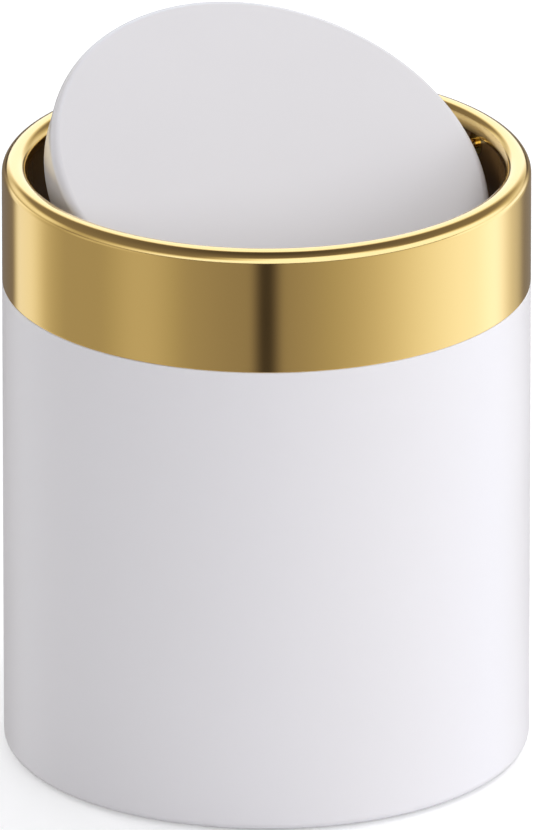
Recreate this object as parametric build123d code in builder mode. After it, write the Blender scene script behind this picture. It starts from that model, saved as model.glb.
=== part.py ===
"""Countertop trash can with a lift-off collar and a swing lid.

Millimetres. +Z is up. The origin is the centre of the circle on which the can stands.
The lid's pivot axis lies along X. At rest the lid leans towards -Y.
"""

import os
from math import cos, radians, sin, sqrt

from build123d import *

# Driving dimensions of the can
can_radius = 60.0
overall_height = 140.5
can_sheet = 0.6
foot_stand = 0.5
hem_radius = 2.0
neck_drop = 8.6
lip_bead_radius = 1.0
shoulder_radius = 0.3

# Floor, base plate and foot pads
floor_sheet = 0.6
floor_seat_width = 3.4
floor_rise = 3.3
floor_bend_radius = 0.8
base_plate_thickness = 2.0
base_rim_width = 11.8
base_plate_recess = 0.2
pad_radius = 4.0
pad_seat_depth = 1.5
pad_edge = 0.15
pad_count = 4

# Gold collar band
band_sheet = 0.6
band_height = 28.7
band_edge_radius = 0.2
roll_radius = 3.0
lip_drop = 0.8

# Carrier ring inside the band
carrier_skirt_depth = 11.5
carrier_flange_thickness = 4.0
carrier_top_rise = 0.1
boss_radius = 3.0

# Lid
lid_tilt = 30.6
lid_gap = 2.5
lid_face_rise = 5.1
lid_depth = 9.7
lid_edge_radius = 1.8
lid_draft = 0.6
lid_face_thickness = 1.5
lid_wall = 1.2
lid_rim_radius = 0.35
lid_back_thickness = 1.4
lid_back_recess = 0.3
lid_back_dish_depth = 0.5
lid_back_dish_margin = 8.0

# Pivot
pivot_drop = 3.1
pin_radius = 1.25
pin_head_radius = 2.1
pin_head_thickness = 0.5
washer_radius = 2.2
washer_thickness = 0.6
bush_wall = 0.75
bush_flange_radius = 2.6
bush_flange_thickness = 0.6
block_length = 8.6
block_width = 8.0
block_rib_thickness = 1.0
block_rib_height = 3.0
clip_radius = 2.4
clip_thickness = 0.5
clip_groove_depth = 0.35
clip_slot_width = 1.5
pin_tail = 0.8

# Lid screws
screw_radius = 0.8
screw_head_radius = 1.6
screw_head_height = 0.7
screw_length = 4.2
screw_circle_radius = 35.0
screw_boss_radius = 2.4
screw_socket_radius = 0.7
screw_socket_depth = 0.4

# Clearances
slip_clearance = 0.3
fit_clearance = 0.05
running_clearance = 0.05
hole_clearance = 0.25
seat_gap = 0.5

# Levels along Z and radii that follow from the driving dimensions
hem_z = foot_stand
hem_top_z = hem_z + can_sheet
shoulder_z = overall_height - band_height
roll_centre_z = overall_height - roll_radius
lip_z = roll_centre_z - lip_drop
pivot_z = roll_centre_z - pivot_drop
neck_top_z = pivot_z - neck_drop

can_inner_radius = can_radius - can_sheet
floor_step_radius = can_radius - hem_radius - floor_seat_width
hem_inner_radius = floor_step_radius - floor_sheet
band_inner_radius = can_radius - band_sheet
neck_radius = band_inner_radius - slip_clearance
bead_inner_radius = neck_radius - 2 * lip_bead_radius
lip_radius = can_radius - 2 * roll_radius
lid_radius = lip_radius - lid_gap
carrier_inner_radius = lip_radius + band_sheet + fit_clearance
carrier_outer_radius = bead_inner_radius - slip_clearance
carrier_seat_radius = band_inner_radius - fit_clearance

os.makedirs("parts", exist_ok=True)


def finish(part, label):
    """Label a finished piece and write its file."""
    part.label = label
    export_step(part, f"parts/{label}.step")


# White can wall: rounded hem below, step for the band and rolled lip above
neck_inner_radius = neck_radius - can_sheet
step_under_z = shoulder_z - can_sheet
bead_centre_z = neck_top_z - lip_bead_radius
with BuildPart() as can_wall:
    with BuildSketch(Plane.XZ) as wall_section:
        with BuildLine():
            Line((hem_inner_radius, hem_z), (can_radius - hem_radius, hem_z))
            RadiusArc(
                (can_radius - hem_radius, hem_z), (can_radius, hem_z + hem_radius), -hem_radius
            )
            Line((can_radius, hem_z + hem_radius), (can_radius, shoulder_z - shoulder_radius))
            RadiusArc(
                (can_radius, shoulder_z - shoulder_radius),
                (can_radius - shoulder_radius, shoulder_z),
                -shoulder_radius,
            )
            Polyline(
                (can_radius - shoulder_radius, shoulder_z),
                (neck_radius, shoulder_z),
                (neck_radius, bead_centre_z),
                (neck_inner_radius, bead_centre_z),
                (neck_inner_radius, step_under_z),
                (can_inner_radius, step_under_z),
                (can_inner_radius, hem_z + hem_radius),
            )
            RadiusArc(
                (can_inner_radius, hem_z + hem_radius),
                (can_radius - hem_radius, hem_top_z),
                hem_radius - can_sheet,
            )
            Polyline(
                (can_radius - hem_radius, hem_top_z),
                (hem_inner_radius, hem_top_z),
                (hem_inner_radius, hem_z),
            )
        make_face()
        with Locations((neck_radius - lip_bead_radius, bead_centre_z)):
            Circle(lip_bead_radius)
    revolve(axis=Axis.Z)
finish(can_wall.part, "can_wall")

# Pressed floor: seat on the hem, a raised panel and a flange up the wall, level with the panel
floor_flange_radius = can_inner_radius - fit_clearance
floor_corner_radius = hem_radius - can_sheet
panel_under_z = hem_top_z + floor_rise
panel_top_z = panel_under_z + floor_sheet
with BuildPart() as can_floor:
    with BuildSketch(Plane.XZ) as floor_section:
        with BuildLine():
            floor_edge = FilletPolyline(
                (0, panel_under_z),
                (hem_inner_radius, panel_under_z),
                (hem_inner_radius, hem_top_z),
                (floor_flange_radius, hem_top_z),
                (floor_flange_radius, panel_top_z),
                radius=(
                    floor_bend_radius,
                    floor_bend_radius + floor_sheet,
                    floor_corner_radius,
                ),
            )
            floor_top = FilletPolyline(
                (0, panel_top_z),
                (floor_step_radius, panel_top_z),
                (floor_step_radius, hem_top_z + floor_sheet),
                (floor_flange_radius - floor_sheet, hem_top_z + floor_sheet),
                (floor_flange_radius - floor_sheet, panel_top_z),
                radius=(
                    floor_bend_radius + floor_sheet,
                    floor_bend_radius,
                    floor_corner_radius - floor_sheet,
                ),
            )
            Line(floor_edge @ 0, floor_top @ 0)
            Line(floor_edge @ 1, floor_top @ 1)
        make_face()
    revolve(axis=Axis.Z)
finish(can_floor.part, "can_floor")

# Moulded base plate under the floor: thick rim up to the panel, blind seats for the pads
base_radius = hem_inner_radius - slip_clearance
base_z = hem_z - base_plate_recess
pad_circle_radius = base_radius - base_rim_width / 2
with BuildPart() as base_plate:
    with BuildSketch(Plane.XY.offset(base_z)):
        Circle(base_radius)
    extrude(amount=panel_under_z - base_z)
    with BuildSketch(Plane.XY.offset(base_z + base_plate_thickness)):
        Circle(base_radius - base_rim_width)
    extrude(amount=panel_under_z - base_z - base_plate_thickness, mode=Mode.SUBTRACT)
    outer_rims = base_plate.edges().filter_by(GeomType.CIRCLE).group_by(SortBy.RADIUS)[-1]
    chamfer(outer_rims.sort_by(Axis.Z)[0], base_plate_recess)
    chamfer(outer_rims.sort_by(Axis.Z)[-1], floor_bend_radius)
    with BuildSketch(Plane.XY.offset(base_z)):
        with PolarLocations(pad_circle_radius, pad_count, start_angle=180 / pad_count):
            Circle(pad_radius + fit_clearance)
    extrude(amount=pad_seat_depth, mode=Mode.SUBTRACT)
finish(base_plate.part, "base_plate")

# Rubber foot pads
pad_height = base_z + pad_seat_depth
pad_places = PolarLocations(pad_circle_radius, pad_count, start_angle=180 / pad_count)
for number, place in enumerate(pad_places, start=1):
    with BuildPart() as foot_pad:
        with BuildSketch():
            with Locations(place.position):
                Circle(pad_radius)
        extrude(amount=pad_height)
        chamfer(foot_pad.edges().group_by(Axis.Z)[0], pad_edge)
    finish(foot_pad.part, f"foot_pad_{number}")

# Gold band: straight wall, half-round roll over the top and a short inner lip
roll_centre_radius = can_radius - roll_radius
with BuildPart() as collar_band:
    with BuildSketch(Plane.XZ) as band_section:
        with BuildLine():
            RadiusArc(
                (can_radius - band_edge_radius, shoulder_z),
                (can_radius, shoulder_z + band_edge_radius),
                -band_edge_radius,
            )
            Line((can_radius, shoulder_z + band_edge_radius), (can_radius, roll_centre_z))
            CenterArc((roll_centre_radius, roll_centre_z), roll_radius, 0, 180)
            Polyline(
                (lip_radius, roll_centre_z),
                (lip_radius, lip_z),
                (lip_radius + band_sheet, lip_z),
                (lip_radius + band_sheet, roll_centre_z),
            )
            CenterArc((roll_centre_radius, roll_centre_z), roll_radius - band_sheet, 0, 180)
            Polyline(
                (band_inner_radius, roll_centre_z),
                (band_inner_radius, shoulder_z),
                (can_radius - band_edge_radius, shoulder_z),
            )
        make_face()
    revolve(axis=Axis.Z)
finish(collar_band.part, "collar_band")

# Carrier ring: inner wall, flange against the band, and a bored boss at each pivot
carrier_top_z = roll_centre_z - carrier_top_rise
carrier_bottom_z = neck_top_z - carrier_skirt_depth
flange_under_z = neck_top_z + seat_gap
flange_top_z = flange_under_z + carrier_flange_thickness
carrier_middle_radius = (carrier_inner_radius + carrier_outer_radius) / 2
bush_radius = pin_radius + running_clearance + bush_wall
pin_head_face = band_inner_radius - seat_gap - slip_clearance
bush_outer_face = pin_head_face - pin_head_thickness - washer_thickness
bush_seat_face = carrier_inner_radius + bush_flange_thickness
pivot_plane = Plane(origin=(0, 0, pivot_z), x_dir=(0, 1, 0), z_dir=(1, 0, 0))
sides = {"left": -1, "right": 1}
with BuildPart() as collar_carrier:
    with BuildSketch(Plane.XZ) as carrier_section:
        Polygon(
            (carrier_inner_radius, carrier_bottom_z),
            (carrier_outer_radius, carrier_bottom_z),
            (carrier_outer_radius, flange_under_z),
            (carrier_seat_radius, flange_under_z),
            (carrier_seat_radius, flange_top_z),
            (carrier_outer_radius, flange_top_z),
            (carrier_outer_radius, carrier_top_z),
            (carrier_inner_radius, carrier_top_z),
            align=None,
        )
    revolve(axis=Axis.Z)
    for side in sides.values():
        with BuildSketch(pivot_plane.offset(side * bush_outer_face)):
            Circle(boss_radius)
            with Locations((0, (flange_top_z - pivot_z) / 2)):
                Rectangle(2 * boss_radius, pivot_z - flange_top_z)
        extrude(amount=-side * (bush_outer_face - carrier_middle_radius))
    for side in sides.values():
        with BuildSketch(pivot_plane.offset(side * bush_outer_face)):
            Circle(bush_radius + fit_clearance)
        extrude(amount=-side * (bush_outer_face - lip_radius), mode=Mode.SUBTRACT)
        with BuildSketch(pivot_plane.offset(side * bush_seat_face)):
            Circle(bush_flange_radius + fit_clearance)
        extrude(amount=-side * (bush_seat_face - lip_radius), mode=Mode.SUBTRACT)
finish(collar_carrier.part, "collar_carrier")

# Flanged bushes in the carrier and spring washers behind them
bush_inner_face = bush_seat_face - bush_flange_thickness
washer_bore = pin_radius + hole_clearance
for name, side in sides.items():
    with BuildPart() as pivot_bush:
        with BuildSketch(pivot_plane.offset(side * bush_inner_face)):
            Circle(bush_flange_radius)
        extrude(amount=side * bush_flange_thickness)
        with BuildSketch(pivot_plane.offset(side * bush_seat_face)):
            Circle(bush_radius)
        extrude(amount=side * (bush_outer_face - bush_seat_face))
        with BuildSketch(pivot_plane.offset(side * bush_inner_face)):
            Circle(pin_radius + running_clearance)
        extrude(amount=side * (bush_outer_face - bush_inner_face), mode=Mode.SUBTRACT)
    finish(pivot_bush.part, f"pivot_bush_{name}")

    with BuildPart() as friction_washer:
        with BuildSketch(pivot_plane.offset(side * bush_outer_face)):
            Circle(washer_radius)
            Circle(washer_bore, mode=Mode.SUBTRACT)
        extrude(amount=side * washer_thickness)
    finish(friction_washer.part, f"friction_washer_{name}")

# Frame of the tilted lid: its Z axis is square to the face, its X axis is the pivot
lid_frame = Plane(
    origin=(0, 0, pivot_z),
    x_dir=(1, 0, 0),
    z_dir=(0, -sin(radians(lid_tilt)), cos(radians(lid_tilt))),
)
lid_section_plane = Plane(
    origin=lid_frame.origin, x_dir=lid_frame.x_dir, z_dir=-lid_frame.y_dir
)
lid_axis = Axis(lid_frame.origin, lid_frame.z_dir)
lid_pivot_plane = Plane(origin=lid_frame.origin, x_dir=lid_frame.y_dir, z_dir=lid_frame.x_dir)

face_top = lid_face_rise
face_under = face_top - lid_face_thickness
skirt_bottom = face_top - lid_depth
skirt_shoulder = face_top - lid_edge_radius
skirt_bottom_radius = lid_radius - lid_draft
back_under = skirt_bottom + lid_back_recess
back_top = back_under + lid_back_thickness
inner_bottom_radius = skirt_bottom_radius - lid_wall
inner_top_radius = lid_radius - lid_wall
block_outer_face = sqrt(inner_bottom_radius**2 - (block_width / 2) ** 2) - slip_clearance
block_inner_face = block_outer_face - block_length
block_middle = block_outer_face - block_length / 2
block_screw_offset = (pin_radius + block_width / 2) / 2
block_screw_places = {
    "left": (-block_middle, -block_screw_offset),
    "right": (block_middle, block_screw_offset),
}
face_screw_places = [(0, screw_circle_radius), (0, -screw_circle_radius)]
screw_places = [*block_screw_places.values(), *face_screw_places]

# White lid face: shallow cup with a filleted edge, screw bosses and block ribs
with BuildPart() as lid_face:
    with BuildSketch(lid_section_plane) as lid_section:
        with BuildLine():
            FilletPolyline(
                (0, face_under),
                (0, face_top),
                (lid_radius, face_top),
                (skirt_bottom_radius, skirt_bottom),
                (inner_bottom_radius, skirt_bottom),
                (inner_top_radius, face_under),
                radius=(
                    0,
                    lid_edge_radius,
                    lid_rim_radius,
                    0,
                ),
            )
            Line((inner_top_radius, face_under), (0, face_under))
        make_face()
    revolve(axis=lid_axis)
    with BuildSketch(lid_frame.offset(back_top)):
        with Locations(*face_screw_places):
            Circle(screw_boss_radius)
    extrude(amount=face_under - back_top)
    with BuildSketch(lid_frame.offset(face_under - block_rib_height)):
        rib_offset = block_width / 2 + slip_clearance + block_rib_thickness / 2
        with GridLocations(2 * block_middle, 2 * rib_offset, 2, 2):
            Rectangle(block_length, block_rib_thickness)
    extrude(amount=block_rib_height)
    with BuildSketch(lid_frame.offset(back_under)):
        with Locations(*face_screw_places):
            Circle(screw_radius + fit_clearance)
    extrude(amount=screw_length, mode=Mode.SUBTRACT)
    for side in sides.values():
        with BuildSketch(lid_pivot_plane.offset(side * block_outer_face)):
            Circle(pin_radius + hole_clearance)
        extrude(amount=side * (lip_radius - block_outer_face), mode=Mode.SUBTRACT)
finish(lid_face.part, "lid_face")

# Lid back: pan that closes the cup, dished in the middle, with screw holes
back_radius = inner_bottom_radius - slip_clearance
with BuildPart() as lid_back:
    with BuildSketch(lid_frame.offset(back_under)):
        Circle(back_radius)
    extrude(amount=lid_back_thickness)
    with BuildSketch(lid_frame.offset(back_under)):
        Circle(back_radius - lid_back_dish_margin)
        with Locations(*screw_places):
            Circle(screw_boss_radius, mode=Mode.SUBTRACT)
    extrude(amount=lid_back_dish_depth, mode=Mode.SUBTRACT)
    with BuildSketch(lid_frame.offset(back_under)):
        with Locations(*screw_places):
            Circle(screw_radius + hole_clearance)
    extrude(amount=lid_back_thickness, mode=Mode.SUBTRACT)
finish(lid_back.part, "lid_back")

# Lid screws: pan heads under the back, shanks up into the bosses and the blocks
with BuildPart() as lid_screws:
    with BuildSketch(lid_frame.offset(back_under)):
        with Locations(*screw_places):
            Circle(screw_radius)
    extrude(amount=screw_length)
    with BuildSketch(lid_frame.offset(back_under - screw_head_height)):
        with Locations(*screw_places):
            Circle(screw_head_radius)
    extrude(amount=screw_head_height)
    with BuildSketch(lid_frame.offset(back_under - screw_head_height)):
        with Locations(*screw_places):
            RegularPolygon(screw_socket_radius, 6)
    extrude(amount=screw_socket_depth, mode=Mode.SUBTRACT)
finish(lid_screws.part, "lid_screws")

# Pin blocks, pins and clips, one of each at either side of the lid
groove_radius = pin_radius - clip_groove_depth
clip_face = block_inner_face - clip_thickness
pin_end_face = clip_face - pin_tail
for name, side in sides.items():
    with BuildPart() as pin_block:
        with BuildSketch(lid_frame.offset(back_top)):
            with Locations((side * block_middle, 0)):
                Rectangle(block_length, block_width)
        extrude(amount=face_under - back_top)
        with BuildSketch(lid_pivot_plane.offset(side * block_inner_face)):
            Circle(pin_radius + fit_clearance / 2)
        extrude(amount=side * block_length, mode=Mode.SUBTRACT)
        with BuildSketch(lid_frame.offset(back_under)):
            with Locations(block_screw_places[name]):
                Circle(screw_radius + fit_clearance)
        extrude(amount=screw_length, mode=Mode.SUBTRACT)
    finish(pin_block.part, f"pin_block_{name}")

    with BuildPart() as pivot_pin:
        with BuildSketch(lid_pivot_plane.offset(side * pin_end_face)):
            Circle(pin_radius)
        extrude(amount=side * (pin_head_face - pin_end_face))
        with BuildSketch(lid_pivot_plane.offset(side * (pin_head_face - pin_head_thickness))):
            Circle(pin_head_radius)
        extrude(amount=side * pin_head_thickness)
        with BuildSketch(lid_pivot_plane.offset(side * clip_face)):
            Circle(pin_radius)
            Circle(groove_radius, mode=Mode.SUBTRACT)
        extrude(amount=side * clip_thickness, mode=Mode.SUBTRACT)
    finish(pivot_pin.part, f"pivot_pin_{name}")

    with BuildPart() as pin_clip:
        with BuildSketch(lid_pivot_plane.offset(side * clip_face)):
            Circle(clip_radius)
            Circle(groove_radius + fit_clearance / 2, mode=Mode.SUBTRACT)
            with Locations((-clip_radius / 2, 0)):
                Rectangle(clip_radius, clip_slot_width, mode=Mode.SUBTRACT)
        extrude(amount=side * clip_thickness)
    finish(pin_clip.part, f"pin_clip_{name}")
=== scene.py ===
"""Looks of the countertop trash can: white can, gold collar and white swing lid.

Metres throughout. +Z is up, the can stands on z = 0, and the lid's pivot lies along X.
"""

from math import cos, radians, sin

import bpy
import numpy as np
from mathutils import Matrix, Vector


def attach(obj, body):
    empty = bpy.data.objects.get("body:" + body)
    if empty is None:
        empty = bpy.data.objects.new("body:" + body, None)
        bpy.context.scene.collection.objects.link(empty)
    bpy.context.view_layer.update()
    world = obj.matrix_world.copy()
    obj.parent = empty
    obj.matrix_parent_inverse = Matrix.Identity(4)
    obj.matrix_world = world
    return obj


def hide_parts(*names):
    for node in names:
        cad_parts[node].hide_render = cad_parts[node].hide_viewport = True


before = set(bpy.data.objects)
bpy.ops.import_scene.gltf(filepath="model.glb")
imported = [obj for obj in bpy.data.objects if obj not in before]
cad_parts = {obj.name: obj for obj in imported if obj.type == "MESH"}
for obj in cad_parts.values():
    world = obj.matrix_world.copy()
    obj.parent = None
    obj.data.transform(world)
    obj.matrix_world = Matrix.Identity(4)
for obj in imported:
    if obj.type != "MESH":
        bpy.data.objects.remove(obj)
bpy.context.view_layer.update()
scene = bpy.context.scene

MM = 0.001

# The photograph's view: the side it is taken from, its height and the height of its frame
VIEW_AZIMUTH = -29.4
VIEW_ELEVATION = 21.23
VIEW_TARGET = Vector((0.0, 0.0, 78.42 * MM))
FRAME_HEIGHT = 188.75 * MM
LENS = 1080.0
SENSOR = 36.0
# Nearest and farthest distance that the camera draws
CLIP_START = 0.1
CLIP_END = 100.0


def toward(azimuth, elevation):
    """Unit vector away from the can: azimuth in degrees to the right of the camera's side,
    elevation in degrees above the horizon."""
    a = radians(VIEW_AZIMUTH + azimuth)
    e = radians(elevation)
    return Vector((sin(a) * cos(e), -cos(a) * cos(e), sin(e)))


def make_camera():
    """Camera on the photograph's line of sight, far enough for its almost parallel view."""
    camera = bpy.data.objects.new("camera", bpy.data.cameras.new("camera"))
    scene.collection.objects.link(camera)
    camera.data.lens = LENS
    camera.data.sensor_width = SENSOR
    line = toward(0, VIEW_ELEVATION)
    camera.location = VIEW_TARGET + line * (FRAME_HEIGHT * LENS / SENSOR)
    camera.rotation_mode = "QUATERNION"
    camera.rotation_quaternion = (-line).to_track_quat("-Z", "Y")
    camera.data.clip_start = CLIP_START
    camera.data.clip_end = CLIP_END
    scene.camera = camera


make_camera()


# Colours and nodes


def colour(code):
    """Linear colour, with alpha, from an sRGB hex code such as "#EDCE88"."""
    channels = [int(code[i : i + 2], 16) / 255 for i in (1, 3, 5)]
    linear = [c / 12.92 if c <= 0.04045 else ((c + 0.055) / 1.055) ** 2.4 for c in channels]
    return (*linear, 1.0)


def add(tree, kind, links=None, values=None, **settings):
    """Adds a node with its settings, the values of its inputs and the sockets that feed them."""
    node = tree.nodes.new(kind)
    for name, value in settings.items():
        setattr(node, name, value)
    for key, value in (values or {}).items():
        node.inputs[key].default_value = value
    for key, socket in (links or {}).items():
        tree.links.new(socket, node.inputs[key])
    return node


def per_mm(size):
    """Scale of a pattern on Object coordinates whose grains are size millimetres apart."""
    return 1.0 / (size * MM)


# Sockets of a Mix node that mixes two colours
FACTOR, COLOUR_A, COLOUR_B, MIXED = 0, 6, 7, 2
# Every noise pattern's octaves and the strength of each next one
NOISE = {"Detail": 2.0, "Roughness": 0.5}
# Distance in mm between the slow drifts of tone and gloss, and the noise's usual range
CLOUD_SIZE = 38.0
CLOUD_RANGE = {"From Min": 0.3, "From Max": 0.7}
# How fast the grains change along a ring, as a share of how fast they change across it
RING_SHARE = 0.01


def make_finish(name, tones, roughness, grain, depth, round_lines=False, **values):
    """A real surface: a colour that drifts between two near tones, a roughness that drifts with
    it, and a bump of grains, grain millimetres apart and depth millimetres deep. With round_lines
    the grains are drawn out into rings about the can's axis, as polishing leaves them."""
    material = bpy.data.materials.new(name)
    material.use_nodes = True
    tree = material.node_tree
    tree.nodes.clear()
    output = add(tree, "ShaderNodeOutputMaterial")
    place = add(tree, "ShaderNodeTexCoord").outputs["Object"]
    cloud = add(
        tree,
        "ShaderNodeTexNoise",
        {"Vector": place},
        {"Scale": per_mm(CLOUD_SIZE), **NOISE},
    )
    tone = add(
        tree,
        "ShaderNodeMix",
        {FACTOR: cloud.outputs["Fac"]},
        {COLOUR_A: colour(tones[0]), COLOUR_B: colour(tones[1])},
        data_type="RGBA",
    )
    gloss = add(
        tree,
        "ShaderNodeMapRange",
        {"Value": cloud.outputs["Fac"]},
        {**CLOUD_RANGE, "To Min": roughness[0], "To Max": roughness[1]},
    )
    if round_lines:
        parts = add(tree, "ShaderNodeSeparateXYZ", {0: place})
        flat = add(tree, "ShaderNodeCombineXYZ", {0: parts.outputs["X"], 1: parts.outputs["Y"]})
        radius = add(tree, "ShaderNodeVectorMath", {0: flat.outputs[0]}, operation="LENGTH")
        along = add(
            tree, "ShaderNodeMath", {0: parts.outputs["X"]}, {1: RING_SHARE}, operation="MULTIPLY"
        )
        place = add(
            tree,
            "ShaderNodeCombineXYZ",
            {0: radius.outputs["Value"], 1: along.outputs[0], 2: parts.outputs["Z"]},
        ).outputs[0]
    grains = add(
        tree,
        "ShaderNodeTexNoise",
        {"Vector": place},
        {"Scale": per_mm(grain), **NOISE},
    )
    bump = add(
        tree,
        "ShaderNodeBump",
        {"Height": grains.outputs["Fac"]},
        {"Strength": 1.0, "Distance": depth * MM},
    )
    shader = add(
        tree,
        "ShaderNodeBsdfPrincipled",
        {
            "Base Color": tone.outputs[MIXED],
            "Roughness": gloss.outputs["Result"],
            "Normal": bump.outputs["Normal"],
        },
        {key.replace("_", " "): value for key, value in values.items()},
    )
    tree.links.new(shader.outputs["BSDF"], output.inputs["Surface"])
    return material


FINISHES = {
    # Powder-coated steel: the cured powder gives a satin white with a faint orange peel
    "white_steel": make_finish(
        "powder_coated_steel", ("#ECEAED", "#EEECEF"), (0.36, 0.42), 0.9, 0.003, IOR=1.5
    ),
    # Tinplate left bare: a soft grey metal gleam inside the can
    "bare_steel": make_finish(
        "bare_tinplate", ("#B4B4B6", "#BDBDBE"), (0.30, 0.40), 0.5, 0.003, Metallic=1.0
    ),
    # Polished gold-plated steel: a deep yellow mirror, slightly soft from buffing round the axis
    "gold_steel": make_finish(
        "polished_gold_plated_steel",
        ("#EDCE88", "#EECF8A"),
        (0.10, 0.13),
        0.25,
        0.0002,
        round_lines=True,
        Metallic=1.0,
    ),
    # Turned brass, polished: a deeper yellow than the collar's gold
    "bush_brass": make_finish(
        "polished_turned_brass", ("#F2CF6A", "#F4D372"), (0.12, 0.16), 0.3, 0.0003, Metallic=1.0
    ),
    # Gloss moulded ABS, brown: nearly black in the shade inside the collar, with soft glints of
    # the gold beside it
    "brown_plastic": make_finish(
        "gloss_moulded_brown_abs", ("#7C5E38", "#81623B"), (0.16, 0.22), 5.0, 0.006, IOR=1.54
    ),
    # Satin moulded ABS, white: an even sheen from the smooth mould, closer than the can's coat
    "white_plastic": make_finish(
        "satin_moulded_white_abs", ("#E2E0E2", "#E4E2E4"), (0.18, 0.24), 0.6, 0.002, IOR=1.54
    ),
    # Matt moulded ABS, grey: the plain underside of the lid
    "grey_plastic": make_finish(
        "matt_moulded_grey_abs", ("#C0C0C3", "#C5C5C8"), (0.55, 0.65), 0.8, 0.006, IOR=1.54
    ),
    # Moulded polypropylene, black: a dull, faintly waxy base
    "black_plastic": make_finish(
        "moulded_black_polypropylene", ("#1D1D1E", "#222223"), (0.45, 0.55), 0.7, 0.006, IOR=1.49
    ),
    # Cast rubber, black: dull and slightly grainy
    "black_rubber": make_finish(
        "cast_black_rubber", ("#171717", "#1E1E1E"), (0.70, 0.80), 0.5, 0.01, IOR=1.52
    ),
    # Acetal, natural: milky white and a little slippery to look at
    "acetal": make_finish(
        "machined_natural_acetal", ("#E6E4DA", "#E9E7DE"), (0.32, 0.40), 0.4, 0.002, IOR=1.48
    ),
    # Spring steel, oiled and plain: darker and duller than the floor's tinplate
    "spring_steel": make_finish(
        "tempered_spring_steel", ("#A2A2A5", "#ACACAE"), (0.28, 0.36), 0.3, 0.002, Metallic=1.0
    ),
}

# Each solid's slot gets the finish of its name
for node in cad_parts.values():
    for holder in node.material_slots:
        holder.material = FINISHES[holder.material.name.split(".")[0]]


# Turned pieces

# Steps of the meshes: round the can's axis, over a sheet's edge, and over and under the roll
STEPS_ROUND = 360
EDGE_STEPS = 12
ROLL_STEPS = 60
UNDER_STEPS = 36


def arc(centre, radius, start, end, steps):
    """Points (r, z) in mm at equal angles, in degrees, on an arc: centre + radius (cos, sin)."""
    angles = np.radians(np.linspace(start, end, steps + 1))
    return np.array(centre) + radius * np.stack([np.cos(angles), np.sin(angles)], axis=1)


def turned(name, section):
    """Surface of revolution about Z. The section is a closed loop of points (r, z) in mm, with the
    metal on its left: the point (r, z) at the angle a lies at (r cos a, r sin a, z)."""
    r, z = section.T * MM
    turns = np.linspace(0.0, 2.0 * np.pi, STEPS_ROUND, endpoint=False)[:, None]
    points = np.stack(
        [np.cos(turns) * r, np.sin(turns) * r, np.broadcast_to(z, (STEPS_ROUND, len(z)))], axis=2
    )
    along = np.arange(len(r))
    here = np.arange(STEPS_ROUND)[:, None] * len(r)
    there = np.roll(here, -1, axis=0)
    ahead = np.roll(along, -1)
    faces = np.stack([here + along, there + along, there + ahead, here + ahead], axis=2)
    mesh = bpy.data.meshes.new(name)
    mesh.from_pydata(points.reshape(-1, 3), [], faces.reshape(-1, 4))
    mesh.shade_smooth()
    piece = bpy.data.objects.new(name, mesh)
    scene.collection.objects.link(piece)
    return piece


# Gold band, mm
BAND_RADIUS = 60.0
BAND_BOTTOM = 111.8
BAND_SHEET = 0.6
ROLL_RADIUS = 3.0
ROLL_HEIGHT = 137.5
LIP_BOTTOM = 136.7
# Distance of the extra points that hold each straight run straight up to its ends
HOLD = 0.05


def gold_band():
    """Section of the rolled sheet: a straight wall, half a circle over the top, a short inner lip
    and the same line again a sheet's thickness inside, both edges rounded over."""
    half = BAND_SHEET / 2
    roll = (BAND_RADIUS - ROLL_RADIUS, ROLL_HEIGHT)
    inner = BAND_RADIUS - BAND_SHEET
    lip = BAND_RADIUS - 2 * ROLL_RADIUS
    section = np.concatenate(
        [
            arc((BAND_RADIUS - half, BAND_BOTTOM + half), half, -180, 0, EDGE_STEPS),
            [(BAND_RADIUS, BAND_BOTTOM + half + HOLD), (BAND_RADIUS, ROLL_HEIGHT - HOLD)],
            arc(roll, ROLL_RADIUS, 0, 180, ROLL_STEPS),
            arc((lip + half, LIP_BOTTOM + half), half, 180, 360, EDGE_STEPS),
            arc(roll, ROLL_RADIUS - BAND_SHEET, 180, 0, UNDER_STEPS),
            [(inner, ROLL_HEIGHT - HOLD), (inner, BAND_BOTTOM + half + HOLD)],
        ]
    )
    piece = turned("gold_band", section)
    piece.data.materials.append(FINISHES["gold_steel"])
    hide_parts("collar_band")
    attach(piece, "collar")


gold_band()


# Floor, light and surroundings

WHITE = "#FFFFFF"
FLOOR_HALF = 6.0
# Light that the floor shows of its own, only where it is seen as the background
FLOOR_LIFT = 0.36


def seen_directly(tree, kinds):
    """Socket that is 1 for rays of any of the named kinds and 0 for all others."""
    rays = add(tree, "ShaderNodeLightPath").outputs
    seen = rays[kinds[0]]
    for kind in kinds[1:]:
        seen = add(
            tree, "ShaderNodeMath", {0: seen, 1: rays[kind]}, operation="MAXIMUM"
        ).outputs[0]
    return seen


def make_floor():
    """Pale paper floor that takes the can's shadow and lights its sides from below. Seen as the
    background it is lifted to white. The polished metal mirrors the studio's panels in its
    place, as in the photograph."""
    mesh = bpy.data.meshes.new("floor")
    corners = [
        (x * FLOOR_HALF, y * FLOOR_HALF, 0.0) for x, y in ((-1, -1), (1, -1), (1, 1), (-1, 1))
    ]
    mesh.from_pydata(corners, [], [(0, 1, 2, 3)])
    floor = bpy.data.objects.new("floor", mesh)
    scene.collection.objects.link(floor)
    paper = make_finish("matt_white_paper", ("#E6E6E6", "#E8E8E8"), (0.9, 0.95), 2.0, 0.01)
    tree = paper.node_tree
    seen = seen_directly(tree, ("Is Camera Ray", "Is Glossy Ray", "Is Transmission Ray"))
    lift = add(tree, "ShaderNodeMath", {0: seen}, {1: FLOOR_LIFT}, operation="MULTIPLY")
    shader = next(node for node in tree.nodes if node.type == "BSDF_PRINCIPLED")
    shader.inputs["Emission Color"].default_value = colour(WHITE)
    tree.links.new(lift.outputs[0], shader.inputs["Emission Strength"])
    mesh.materials.append(paper)
    floor.visible_glossy = False


make_floor()

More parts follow.
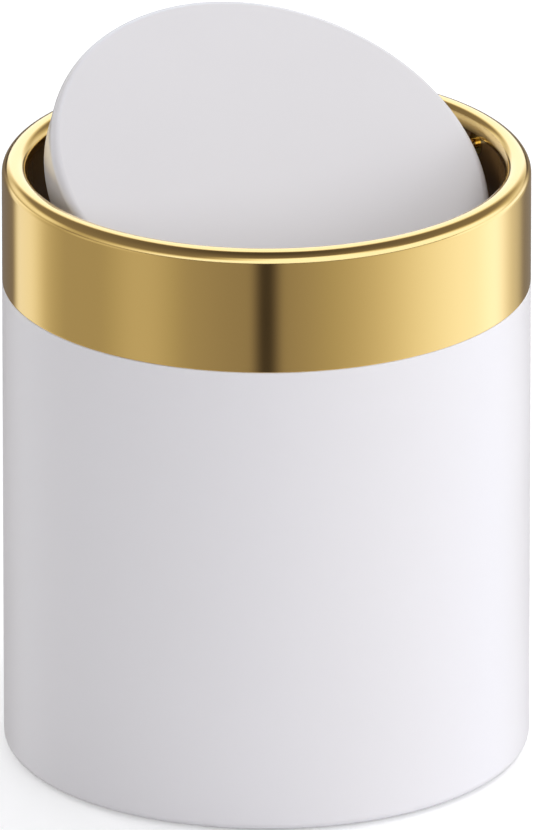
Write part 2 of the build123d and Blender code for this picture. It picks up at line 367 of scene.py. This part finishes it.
# Each soft panel round the can: the azimuths, right of the camera's side, at which its brightness
# starts to rise, is full, starts to fall and is gone, the same for elevations, and its strength
LOW = (-99, -98, -3, 3)
PANELS = {
    "low_glow": ((-190, -189, 189, 190), LOW, 0.10),
    "low_front": ((-116, -100, 10, 60), LOW, 0.19),
    "low_left": ((-116, -100, -50, -8), LOW, 0.105),
    "left_fill": ((-80, -58, -55, -32), LOW, 0.165),
    "left_strip": ((-147, -137, -128, -98), LOW, 1.03),
    "right_wing": ((2, 112, 118, 150), LOW, 1.42),
    "right_glint": ((102, 117, 118, 131), LOW, 0.18),
    "right_edge": ((133, 143, 144, 154), LOW, 0.21),
    "low_back_left": ((-190, -189, -147, -137), LOW, 0.08),
    "low_back_right": ((118, 150, 189, 190), LOW, 0.12),
    "upper_glow": ((-190, -189, 189, 190), (6, 8, 24, 110), 0.225),
    "left_tent": ((-160, -139, -114, -82), (-12, 15, 16, 29), 0.98),
    "left_rim": ((-100, -83, -81, -43), (-12, -11, 15, 32), 0.25),
    "front_tent": ((-93, -20, 100, 132), (2, 5, 7, 31), 2.0),
    "front_high": ((-37, 24, 25, 77), (6, 17, 36, 50), 2.0),
    "right_rim": ((39, 67, 68, 113), (12, 17, 27, 38), 1.95),
    "right_tent": ((78, 106, 140, 158), (-12, -7, 4, 31), 0.88),
    "back_left": ((-190, -189, -171, -147), (6, 7, 63, 74), 2.0),
    "back_right": ((144, 172, 189, 190), (4, 8, 63, 74), 2.0),
}
# Light from everywhere between the panels
AMBIENT = 0.04
# The dark gap between the low panels, on the camera's side
GAP = (-8.5, -1.0, 1.0, 8.5)
GAP_LEVEL = 0.16
# Where panels overlap, their light goes no higher than this
FULL_LEVEL = 1.75
# Colours of the room by the strength of its light, as shares of the full level: the dim parts
# are warm, the half-lit ones yellowish and the panels cool
TINTS = [(0.0, "#FFEBEB"), (0.27, "#FFF6DD"), (1.0, "#E2ECFF")]
# Colour of the same light where it falls on dull surfaces
PLAIN = "#F0EFF0"


def window(tree, value, edges):
    """Socket that is 1 between the middle two of four edges and falls smoothly to 0 at the
    outer two."""
    rise = add(
        tree,
        "ShaderNodeMapRange",
        {"Value": value},
        {"From Min": edges[0], "From Max": edges[1]},
        interpolation_type="SMOOTHSTEP",
    )
    fall = add(
        tree,
        "ShaderNodeMapRange",
        {"Value": value},
        {"From Min": edges[2], "From Max": edges[3], "To Min": 1.0, "To Max": 0.0},
        interpolation_type="SMOOTHSTEP",
    )
    return add(
        tree,
        "ShaderNodeMath",
        {0: rise.outputs["Result"], 1: fall.outputs["Result"]},
        operation="MULTIPLY",
    ).outputs[0]


def make_world():
    """Studio of soft white panels, placed by azimuth and elevation about the can. Seen directly
    it is plain white, and the metal mirrors the panels."""
    world = bpy.data.worlds.new("studio")
    scene.world = world
    world.use_nodes = True
    tree = world.node_tree
    tree.nodes.clear()
    direction = add(tree, "ShaderNodeTexCoord").outputs["Generated"]
    across, front, up = (
        add(
            tree,
            "ShaderNodeVectorMath",
            {0: direction},
            {1: axis},
            operation="DOT_PRODUCT",
        ).outputs["Value"]
        for axis in (toward(90, 0), toward(0, 0), Vector((0, 0, 1)))
    )
    azimuth = add(tree, "ShaderNodeMath", {0: across, 1: front}, operation="ARCTAN2").outputs[0]
    height = add(tree, "ShaderNodeMath", {0: up}, operation="ARCSINE").outputs[0]
    azimuth, height = (
        add(tree, "ShaderNodeMath", {0: angle}, operation="DEGREES").outputs[0]
        for angle in (azimuth, height)
    )
    total = add(tree, "ShaderNodeValue").outputs[0]
    total.default_value = AMBIENT
    for sides, heights, strength in PANELS.values():
        panel = add(
            tree,
            "ShaderNodeMath",
            {0: window(tree, azimuth, sides), 1: window(tree, height, heights)},
            operation="MULTIPLY",
        ).outputs[0]
        total = add(
            tree, "ShaderNodeMath", {0: panel, 2: total}, {1: strength}, operation="MULTIPLY_ADD"
        ).outputs[0]
    gap = add(
        tree,
        "ShaderNodeMath",
        {0: window(tree, azimuth, GAP), 1: window(tree, height, LOW)},
        operation="MULTIPLY",
    )
    dimming = add(
        tree,
        "ShaderNodeMapRange",
        {"Value": gap.outputs[0]},
        {"To Min": 1.0, "To Max": GAP_LEVEL},
    )
    level = add(
        tree, "ShaderNodeMath", {0: total, 1: dimming.outputs["Result"]}, operation="MULTIPLY"
    )
    level = add(
        tree, "ShaderNodeMath", {0: level.outputs[0]}, {1: FULL_LEVEL}, operation="MINIMUM"
    )
    share = add(
        tree, "ShaderNodeMath", {0: level.outputs[0]}, {1: FULL_LEVEL}, operation="DIVIDE"
    )
    tint = add(tree, "ShaderNodeValToRGB", {0: share.outputs[0]})
    # A ramp starts with two stops, and the middle one is added
    stops = tint.color_ramp.elements
    stops.new(TINTS[1][0])
    for stop, (position, code) in zip(stops, TINTS):
        stop.position = position
        stop.color = colour(code)
    rays = add(tree, "ShaderNodeLightPath").outputs
    plain = add(
        tree,
        "ShaderNodeMix",
        {FACTOR: rays["Is Diffuse Ray"], COLOUR_A: tint.outputs[0]},
        {COLOUR_B: colour(PLAIN)},
        data_type="RGBA",
    )
    studio = add(
        tree, "ShaderNodeBackground", {"Color": plain.outputs[MIXED], "Strength": level.outputs[0]}
    )
    white = add(
        tree, "ShaderNodeBackground", values={"Color": colour(WHITE), "Strength": 1.0}
    )
    seen = seen_directly(tree, ("Is Camera Ray", "Is Transmission Ray"))
    view = add(
        tree, "ShaderNodeMixShader", {0: seen, 1: studio.outputs[0], 2: white.outputs[0]}
    )
    output = add(tree, "ShaderNodeOutputWorld", {"Surface": view.outputs[0]})
    output.is_active_output = True


make_world()

LAMP_DISTANCE = 1.6
LAMP_SIZE = 0.7
# Each lamp: azimuth right of the camera's side, elevation, and power in watts
LAMPS = {
    "low_from_the_right": (72, 12, 2.9),
    "high_in_front": (30, 65, 1.9),
    "high_behind_right": (110, 55, 6.9),
    "mid_behind_left": (-125, 35, 5.2),
}


def make_lamp(name, azimuth, elevation, power):
    """Square soft lamp that faces the middle of the can and isn't mirrored in the metal."""
    lamp = bpy.data.objects.new(name, bpy.data.lights.new(name, "AREA"))
    scene.collection.objects.link(lamp)
    lamp.data.size = LAMP_SIZE
    lamp.data.energy = power
    line = toward(azimuth, elevation)
    lamp.location = VIEW_TARGET + line * LAMP_DISTANCE
    lamp.rotation_mode = "QUATERNION"
    lamp.rotation_quaternion = (-line).to_track_quat("-Z", "Y")
    lamp.visible_glossy = False


for lamp_name, lamp_values in LAMPS.items():
    make_lamp(lamp_name, *lamp_values)

scene.view_settings.view_transform = "Standard"
